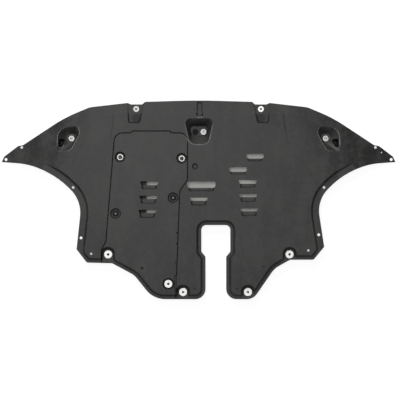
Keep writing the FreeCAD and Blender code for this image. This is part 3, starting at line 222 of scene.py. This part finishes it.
# The upper rims of the pocket and of the wings' scoops, which carry a painted highlight
RIM_PLACES = ((1.5 * MM, 252.0 * MM, 40.0 * MM), (-478.0 * MM, 236.0 * MM, 32.0 * MM),
              (478.0 * MM, 236.0 * MM, 32.0 * MM))
RIM_REACH = (49.6 * MM, 62.0 * MM)
RIM_LEVELS = (22.0 * MM, 26.0 * MM)
RIM_RADIUS, RIM_TURN = 4.0 * MM, (0.004, 0.06)
RIM_FRONT = (-0.3, -0.05)

# The crease between the field and each wing: a point of it on the front apron, its lean
# outwards and its rise towards the rear, its depth at that point, half the width over which it
# bends, and the slopes of the field and the wing
CREASE_OUT, CREASE_FORE = 424.4 * MM, 302.7 * MM
CREASE_LEAN, CREASE_RISE = 0.2235, 0.0537
CREASE_DEPTH, CREASE_HALF = 4.57 * MM, 67.3 * MM
FLAT_FALL, WING_FALL = 0.0175, 0.1695
# The bend at the back of the front apron: its place, half its width, and the slopes behind and
# in front of it
APRON_FORE, APRON_HALF = 221.0 * MM, 36.7 * MM
BACK_FALL, APRON_FALL = 0.007, 0.0559
# How softly apron and wing meet on the real part, and how sharply they do in the solid
SOFT_MEETING, SHARP_MEETING = 20.0 * MM, 0.3 * MM

# Reliefs, each a strength and a distance, of the eased crease at its real height and of the
# grain, and the share of the mottling's height beside the grain's
CREASE_RELIEF, GRAIN_RELIEF, MOTTLE_HEIGHT = (1.0, 1.0), (0.3, 0.2 * MM), 0.5

# Roughness of the clean plastic, what dust, the painted shade's mask and grain add, and the
# index for its gloss
PLASTIC_ROUGHNESS, DUST_DULLS, SHADE_MASK_DULLS, GRAIN_DULLS = 0.41, 0.08, 0.5, 0.05
PLASTIC_INDEX = 1.32


def shade_in_hollows(finish, corner):
    """Painted shade in corners and hollows, on steep walls and on the floors of the tabs."""
    hollow = 1.0 - finish.open_sky(HOLLOW_REACH).ramp(*HOLLOW_SKY)
    steep = 1.0 - finish.facing().ramp(*STEEP_FACING)
    tab_shade = 1.0 - finish.away(*TAB_PLACES).ramp(*TAB_REACH)
    tab_shade = tab_shade * (1.0 - finish.along(UP, finish.at).ramp(*TAB_LEVELS))
    return (CORNER_SHARE * corner + HOLLOW_SHARE * hollow + STEEP_SHARE * steep
            + TAB_SHADE_SHARE * tab_shade).ramp(0.0, 1.0)


def front_step_band(finish):
    """The low step along the front."""
    return 1.0 - (finish.along(FORE, finish.at) - STEP_FORE).size().ramp(*STEP_REACH)


def rim_highlights(finish):
    """A painted highlight on the upper rims of the pocket and of the wings' scoops, but for
    their front sides.
    """
    near = 1.0 - finish.away(*RIM_PLACES).ramp(*RIM_REACH)
    high = finish.along(UP, finish.at).ramp(*RIM_LEVELS)
    normal, turn = finish.rounded(RIM_RADIUS)
    return turn.ramp(*RIM_TURN) * near * high * finish.along(FORE, normal).ramp(*RIM_FRONT)


def wing_ease(finish):
    """The height that eases the crease between the field and each wing."""
    fore = finish.along(FORE, finish.at)
    behind = CREASE_FORE - fore
    aside = finish.along(OUT, finish.at).size() - CREASE_OUT - behind * CREASE_LEAN
    wing = aside.bend(FLAT_FALL, WING_FALL, CREASE_HALF) + behind * CREASE_RISE - CREASE_DEPTH
    apron = (fore - APRON_FORE).bend(BACK_FALL, APRON_FALL, APRON_HALF).least(0.0)
    return apron.soft_least(wing, SOFT_MEETING) - apron.soft_least(wing, SHARP_MEETING)


def grained_plastic(name, level, dust):
    """Matte moulded plastic of a grey, under dust so many times as light, with painted shade and
    highlights.
    """
    finish = Finish(name)
    mottle = finish.noise(*MOTTLE)
    grain = finish.noise(*GRAIN)
    soil = (CLOUD_SHARE * finish.noise(*CLOUDS) + STREAK_SHARE * finish.noise(*STREAKS)
            + MOTTLE_SHARE * mottle).ramp(*DUSTY)
    colour = finish.mix(soil, grey(level, PLASTIC_WARMTH), grey(level * dust, DUST_WARMTH))
    colour = finish.mix(SPECK_SHARE * grain.ramp(*SPECKED), colour,
                        grey(level * dust * SPECK_LIGHT, SPECK_WARMTH))

    # Painted shade in corners and hollows, on steep walls and on the tabs, nearly lifted along
    # the front step
    corner = 1.0 - finish.open_sky(CORNER_REACH).ramp(*CORNER_SKY)
    step_band = front_step_band(finish)
    shade_mask = shade_in_hollows(finish, corner) * (1.0 - STEP_SHADE_LIFT * step_band)
    colour = finish.mix(shade_mask, colour, grey(PLASTIC_SHADE_GREY))
    # Painted light: the front step's slanted faces are painted paler
    slanted = 1.0 - finish.facing().ramp(*SLANTED_FACING)
    colour = finish.mix(step_band * slanted, colour, grey(STEP_PAINTED_LIGHT))

    # Edge wear with a painted highlight, and a painted highlight on the rims of the pocket and
    # scoops
    soft, turn = finish.rounded(EDGE_RADIUS)
    worn_highlight = turn.ramp(*EDGE_TURN) * (1.0 - corner)
    colour = finish.mix(worn_highlight, colour, grey(WORN_HIGHLIGHT_GREY, WEAR_AND_HIGHLIGHT_WARMTH))
    colour = finish.mix(rim_highlights(finish), colour, grey(RIM_HIGHLIGHT_GREY, WEAR_AND_HIGHLIGHT_WARMTH))

    eased = finish.bump(wing_ease(finish), CREASE_RELIEF, Normal=soft)
    normal = finish.bump(grain + MOTTLE_HEIGHT * mottle, GRAIN_RELIEF, Normal=eased)
    roughness = (PLASTIC_ROUGHNESS + DUST_DULLS * soil + SHADE_MASK_DULLS * shade_mask
                 + GRAIN_DULLS * grain)
    return finish.close(finish.value(
        "ShaderNodeBsdfPrincipled", Base_Color=colour, Roughness=roughness, Normal=normal,
        IOR=PLASTIC_INDEX))


# Plated steel of the collars, washers and screws

ZINC_HAZE, ZINC_WEAR = (260.0, 3.0, 0.6), (900.0, 2.0, 0.5)
ZINC_HAZY, ZINC_RELIEF = (0.35, 0.7), (0.2, 0.05 * MM)
ZINC_WARMTH, HAZE_WARMTH = 0.005, 0.015
HAZE_SHADE, HAZE_DULLS = 0.93, 0.15
# Painted shade: how near a wall is, how open the sky is where it is full and where it ends, and
# the radii at which it begins and is full on a washer, as a painted shadow ring round its edge
WALL_REACH, WALL_SKY = 8.0 * MM, (0.75, 0.97)
WASHER_EDGE = (10.0 * MM, 11.4 * MM)
ZINC_SHADE_SHARE, ZINC_SHADE_GREY = 0.95, 0.01


def plated_steel(name, level, roughness, centres=()):
    """Zinc-plated steel, faintly clouded, with painted shade at a wall and round some centres.
    """
    finish = Finish(name)
    haze = finish.noise(*ZINC_HAZE)
    colour = finish.mix(haze.ramp(*ZINC_HAZY), grey(level, ZINC_WARMTH),
                        grey(level * HAZE_SHADE, HAZE_WARMTH))
    painted_shade = 1.0 - finish.open_sky(WALL_REACH).ramp(*WALL_SKY)
    if centres:
        painted_shade = (painted_shade + finish.away(*centres).ramp(*WASHER_EDGE)).least(1.0)
    colour = finish.mix(ZINC_SHADE_SHARE * painted_shade, colour, grey(ZINC_SHADE_GREY))
    normal = finish.bump(finish.noise(*ZINC_WEAR), ZINC_RELIEF)
    return finish.close(finish.value(
        "ShaderNodeBsdfPrincipled", Base_Color=colour, Metallic=1.0,
        Roughness=roughness + HAZE_DULLS * haze, Normal=normal))


# Nylon of the push clips

NYLON_HAZE, NYLON_WEAR = (180.0, 3.0, 0.6), (700.0, 2.0, 0.5)
NYLON_HAZY, NYLON_RELIEF = (0.4, 0.7), (0.2, 0.08 * MM)
NYLON_LIGHT, NYLON_WARMTH = 2.0, 0.02
# Painted shade in the clips' corners: its reach, its open sky where full and where it ends, its
# grey
CLIP_REACH, CLIP_SKY, CLIP_SHADE_GREY = 6.0 * MM, (0.5, 0.9), 0.0005
# Roughness of the clean nylon, and what the painted shade's mask and haze add
NYLON_ROUGHNESS, NYLON_SHADE_DULLS, NYLON_HAZE_DULLS = 0.36, 0.3, 0.1


def clip_plastic(name, level, index):
    """Black nylon with a faint moulding haze and painted shade, of an index that sets its gloss.
    """
    finish = Finish(name)
    haze = finish.noise(*NYLON_HAZE)
    colour = finish.mix(haze.ramp(*NYLON_HAZY), grey(level),
                        grey(level * NYLON_LIGHT, NYLON_WARMTH))
    painted_shade = 1.0 - finish.open_sky(CLIP_REACH).ramp(*CLIP_SKY)
    colour = finish.mix(painted_shade, colour, grey(CLIP_SHADE_GREY))
    normal = finish.bump(finish.noise(*NYLON_WEAR), NYLON_RELIEF)
    return finish.close(finish.value(
        "ShaderNodeBsdfPrincipled", Base_Color=colour,
        Roughness=NYLON_ROUGHNESS + NYLON_SHADE_DULLS * painted_shade + NYLON_HAZE_DULLS * haze, Normal=normal,
        IOR=index))


def middle(box):
    """The middle of a node's box, out and fore."""
    low, high = box
    return 0.5 * (low[OUT] + high[OUT]), 0.5 * (low[FORE] + high[FORE])


WASHERS = [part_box(f"cover_washer_{side}") for side in ("left", "right")]
SHIELD = grained_plastic("shield_grain", level=0.0165, dust=2.3)
COVER = grained_plastic("cover_grain", level=0.0182, dust=2.3)
# Lit and shaded copies of one zinc plating for the collars: their levels are painted light and
# shade
LIT_COLLAR = plated_steel("lit_zinc", level=0.78, roughness=0.5)
SHADED_COLLAR = plated_steel("shaded_zinc", level=0.5, roughness=0.5)
HALF_SHADED_COLLAR = plated_steel("half_shaded_zinc", level=0.52, roughness=0.5)
WASHER = plated_steel("washer_zinc", level=0.7, roughness=0.45,
                      centres=[(*middle(box), box[1][UP]) for box in WASHERS])
HALF_LIT_COLLAR = plated_steel("half_lit_zinc", level=0.7, roughness=0.45)
SCREW = plated_steel("screw_zinc", level=0.06, roughness=0.4)
CLIP = clip_plastic("clip_nylon", level=0.001, index=1.2)
# The pins' nylon is paler than the clips', a painted highlight
HIGHLIT_PIN = clip_plastic("highlit_pin_nylon", level=0.02, index=1.5)

# Each finish by how the names of its nodes start; the first that fits holds
FINISHES = {
    "main_shield": SHIELD,
    "service_cover": COVER,
    "front_left_collar": HALF_SHADED_COLLAR,
    "front_right_collar": HALF_LIT_COLLAR,
    "left_scoop_collar": SHADED_COLLAR,
    "right_scoop_collar": SHADED_COLLAR,
    "centre_pocket_collar": SHADED_COLLAR,
    "rear": LIT_COLLAR,
    "cover_collar": LIT_COLLAR,
    "cover_washer": WASHER,
    "cover_screw": SCREW,
    "cover_nut": SCREW,
    "cover_clip_pin": HIGHLIT_PIN,
    "cover_clip": CLIP,
    "pocket_clip": CLIP,
}
for name, node in NODES.items():
    node.data.materials.clear()
    node.data.materials.append(
        next(material for start, material in FINISHES.items() if name.startswith(start)))


# Floor: a white card, seen nearly without its shadows, and a grey sheet of painted shade under
# the louvres

FLOOR_HALF = (7.0, 7.0)
FLOOR_DROP = 0.3 * MM
SHEET_MIDDLE = (8.0 * MM, 60.0 * MM)
SHEET_HALF = (236.0 * MM, 134.0 * MM)
HOLE_DISC, BORE_DISC = 8.0 * MM, 6.0 * MM
DIM_HOLES = ((-394.0 * MM, -198.0 * MM), (403.0 * MM, -185.7 * MM), (-653.0 * MM, 193.5 * MM),
             (653.0 * MM, 193.5 * MM), (675.5 * MM, 175.0 * MM), (-461.5 * MM, 45.5 * MM),
             (461.5 * MM, 45.5 * MM))
EVEN_LIGHT = 1.1


def card(name, colour, glow):
    """Paper that is seen, straight or in metal or glass, with a share of even light."""
    finish = Finish(name)
    paper = finish.value("ShaderNodeBsdfDiffuse", Color=colour)
    light = finish.value("ShaderNodeEmission", Color=grey(1.0), Strength=EVEN_LIGHT)
    camera_ray, glossy_ray, transmission_ray = (
        finish.value("ShaderNodeLightPath", output=f"Is {ray} Ray")
        for ray in ("Camera", "Glossy", "Transmission"))
    seen = camera_ray + glossy_ray + transmission_ray
    return finish.close(finish.value("ShaderNodeMixShader", _0=seen * glow, _1=paper, _2=light))


def lay(name, paper):
    """Names and papers the newest piece."""
    bpy.ops.object.transform_apply()
    piece = bpy.context.object
    piece.name = name
    piece.data.materials.append(paper)


def paper_sheet(name, place, half, paper):
    """A sheet of paper, by its middle and half its sides."""
    bpy.ops.mesh.primitive_plane_add(size=2.0, location=place)
    bpy.context.object.scale = (*half, 1.0)
    lay(name, paper)


def paper_disc(name, place, radius, paper):
    """A disc of paper under a hole."""
    bpy.ops.mesh.primitive_circle_add(vertices=32, radius=radius, fill_type="NGON",
                                      location=place)
    lay(name, paper)


paper_sheet("floor", (0.0, 0.0, -2.0 * FLOOR_DROP), FLOOR_HALF,
            card("white_card", (0.93, 0.935, 0.925, 1.0), glow=0.8))
# A grey sheet of painted shade, seen through the louvres' slots
paper_sheet("louvre_shade_sheet", (*SHEET_MIDDLE, -FLOOR_DROP), SHEET_HALF,
            card("louvre_shade_paper", (0.6, 0.615, 0.57, 1.0), glow=0.04))
# Papers of painted shade, seen through the small holes and the collars' bores
BLACK_SHADE_PAPER = card("black_shade_paper", grey(0.01), glow=0.0)
DARK_SHADE_PAPER = card("dark_shade_paper", grey(0.08), glow=0.03)
MID_SHADE_PAPER = card("mid_shade_paper", grey(0.2), glow=0.16)
PALE_SHADE_PAPER = card("pale_shade_paper", grey(0.3), glow=0.3)
DIM_SHADE_PAPER = card("dim_shade_paper", grey(0.5), glow=0.5)

# Discs of painted shade on the card, seen through the dim small holes
for number, place in enumerate(DIM_HOLES):
    paper_disc(f"disc_hole_{number}", (*place, -0.5 * FLOOR_DROP), HOLE_DISC, DIM_SHADE_PAPER)

# Discs of painted shade under the collars' sleeves, seen through their bores
BORE_SHADES = {"rear_left_collar": BLACK_SHADE_PAPER, "rear_right_collar": DARK_SHADE_PAPER,
          "cover_collar": DARK_SHADE_PAPER, "left_scoop_collar": PALE_SHADE_PAPER,
          "right_scoop_collar": PALE_SHADE_PAPER, "centre_pocket_collar": PALE_SHADE_PAPER}
for name in NODES:
    if "collar" in name:
        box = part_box(name)
        place = (*middle(box), box[0][UP] - 0.5 * FLOOR_DROP)
        paper_disc(f"disc_{name}", place, BORE_DISC, BORE_SHADES.get(name, MID_SHADE_PAPER))


# Light

WORLD_GREY = 0.05


def soft_box(name, place, size, power):
    """A rectangular lamp that faces the part's middle."""
    light = bpy.data.lights.new(name, "AREA")
    light.shape, light.energy = "RECTANGLE", power
    light.size, light.size_y = size
    lamp = bpy.data.objects.new(name, light)
    lamp.location = place
    lamp.rotation_euler = (-Vector(place)).to_track_quat("-Z", "Y").to_euler()
    bpy.context.scene.collection.objects.link(lamp)


soft_box("overhead", place=(-0.4, 0.7, 5.6), size=(2.2, 2.4), power=152.0)
soft_box("front", place=(-1.4, 5.2, 4.2), size=(3.0, 2.0), power=305.0)
# Low lamps behind and beside the part, which show its faces in views from the other sides
soft_box("rear", place=(0.6, -6.2, 1.1), size=(4.0, 1.4), power=54.0)
soft_box("left", place=(-6.0, -0.6, 1.7), size=(3.0, 1.6), power=45.0)
soft_box("right", place=(6.0, -0.6, 1.2), size=(3.0, 1.4), power=20.0)

world = bpy.data.worlds.new("studio")
world.use_nodes = True
world.node_tree.nodes["Background"].inputs["Color"].default_value = grey(WORLD_GREY)
bpy.context.scene.world = world

# Camera: straight above, as the photograph was taken
camera_data = bpy.data.cameras.new("camera")
camera_data.sensor_width = SENSOR_WIDTH
camera_data.lens = SENSOR_WIDTH * CAMERA_HEIGHT / PICTURE_WIDTH
camera = bpy.data.objects.new("camera", camera_data)
camera.location = (*PICTURE_CENTRE, CAMERA_HEIGHT)
bpy.context.scene.collection.objects.link(camera)
bpy.context.scene.camera = camera
bpy.context.scene.view_settings.view_transform = "Standard"
